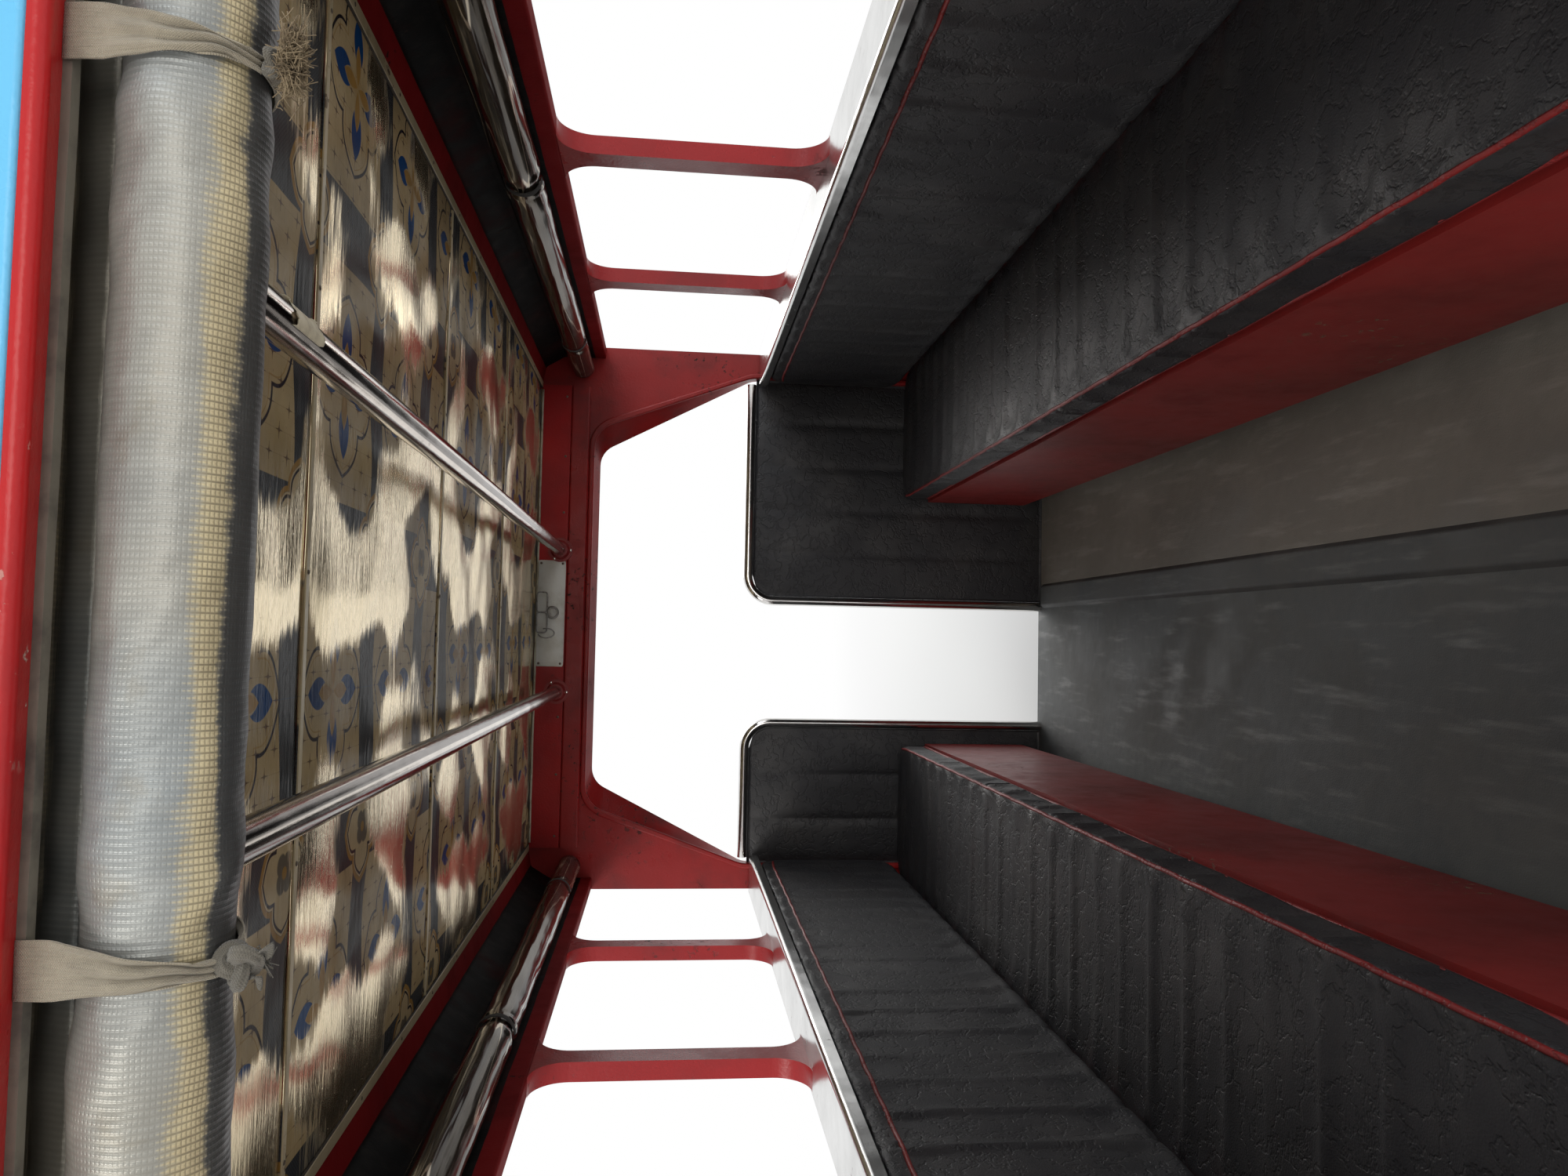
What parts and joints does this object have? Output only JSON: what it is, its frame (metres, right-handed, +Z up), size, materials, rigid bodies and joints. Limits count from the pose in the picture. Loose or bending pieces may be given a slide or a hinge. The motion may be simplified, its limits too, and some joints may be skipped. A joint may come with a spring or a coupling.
{
  "type": "jeepney passenger cabin",
  "caption": "Open-sided rear passenger cabin of a jeepney: facing benches, printed ceiling, polished handrails and rolled rain curtains on a steel underframe.",
  "frame": {"origin": "centre of the section's base, at the underside of its runners", "axes": "+Y forward towards the cab, +X to the cabin's right-hand side, +Z up"},
  "size_m": [1.488, 2.764, 1.636],
  "materials": {
    "runner_paint": "matt black chassis paint",
    "floor_dark": "worn dark floor sheet",
    "floor_pale": "worn grey-beige floor sheet",
    "body_red": "worn red enamel",
    "fascia_blue": "gloss light-blue enamel",
    "stainless": "polished stainless steel",
    "bright_tube": "polished tube",
    "lining_print": "glossy printed vinyl, traditional tile pattern",
    "cream_trim": "cream strip",
    "galvanised": "plain sheet",
    "seat_vinyl": "black upholstery vinyl with sewn channels",
    "bench_board": "painted plywood",
    "curtain_mesh": "silver-grey reinforced vinyl",
    "curtain_clear": "rolled smoke-dark clear vinyl",
    "tie_cloth": "grey-beige cotton tape",
    "lamp_red": "moulded red lens"
  },
  "bodies": {
    "root": {"underframe_runners": "runner_paint", "underframe_crossmembers": "runner_paint", "floor_sheet_left": "floor_dark", "floor_sheet_right": "floor_pale", "floor_seam": "floor_dark", "wheel_housings": "runner_paint", "side_wall_left": "body_red", "side_wall_right": "body_red", "window_sill_left": "stainless", "window_sill_right": "stainless", "window_posts": "body_red", "cantrail_left": "body_red", "cantrail_right": "body_red", "roof_skin": "galvanised", "roof_bows": "body_red", "ceiling_panels": "lining_print", "ceiling_battens": "cream_trim", "ceiling_mouldings": "cream_trim", "handrail_left": "bright_tube", "handrail_right": "bright_tube", "bulkhead_header_board": "body_red", "bulkhead_frame": "body_red", "partition_left": "seat_vinyl", "partition_right": "seat_vinyl", "partition_frames": "bright_tube", "rear_header_beam": "body_red", "rear_fascia": "fascia_blue", "rear_fascia_edge": "body_red", "rear_header_soffit": "stainless", "rear_post_left": "body_red", "rear_post_right": "body_red", "rear_panel_left": "body_red", "rear_panel_right": "body_red", "rear_grab_bars": "bright_tube", "rear_lamps": "lamp_red", "rear_step": "stainless", "bench_base_left": "bench_board", "bench_base_right": "bench_board", "bench_cushion_left": "seat_vinyl", "bench_cushion_right": "seat_vinyl", "bench_back_left": "seat_vinyl", "bench_back_right": "seat_vinyl", "rear_curtain_roll": "curtain_mesh", "rear_curtain_ties": "tie_cloth", "side_curtain_roll_left": "curtain_clear", "side_curtain_roll_right": "curtain_clear"}
  },
  "joints": []
}
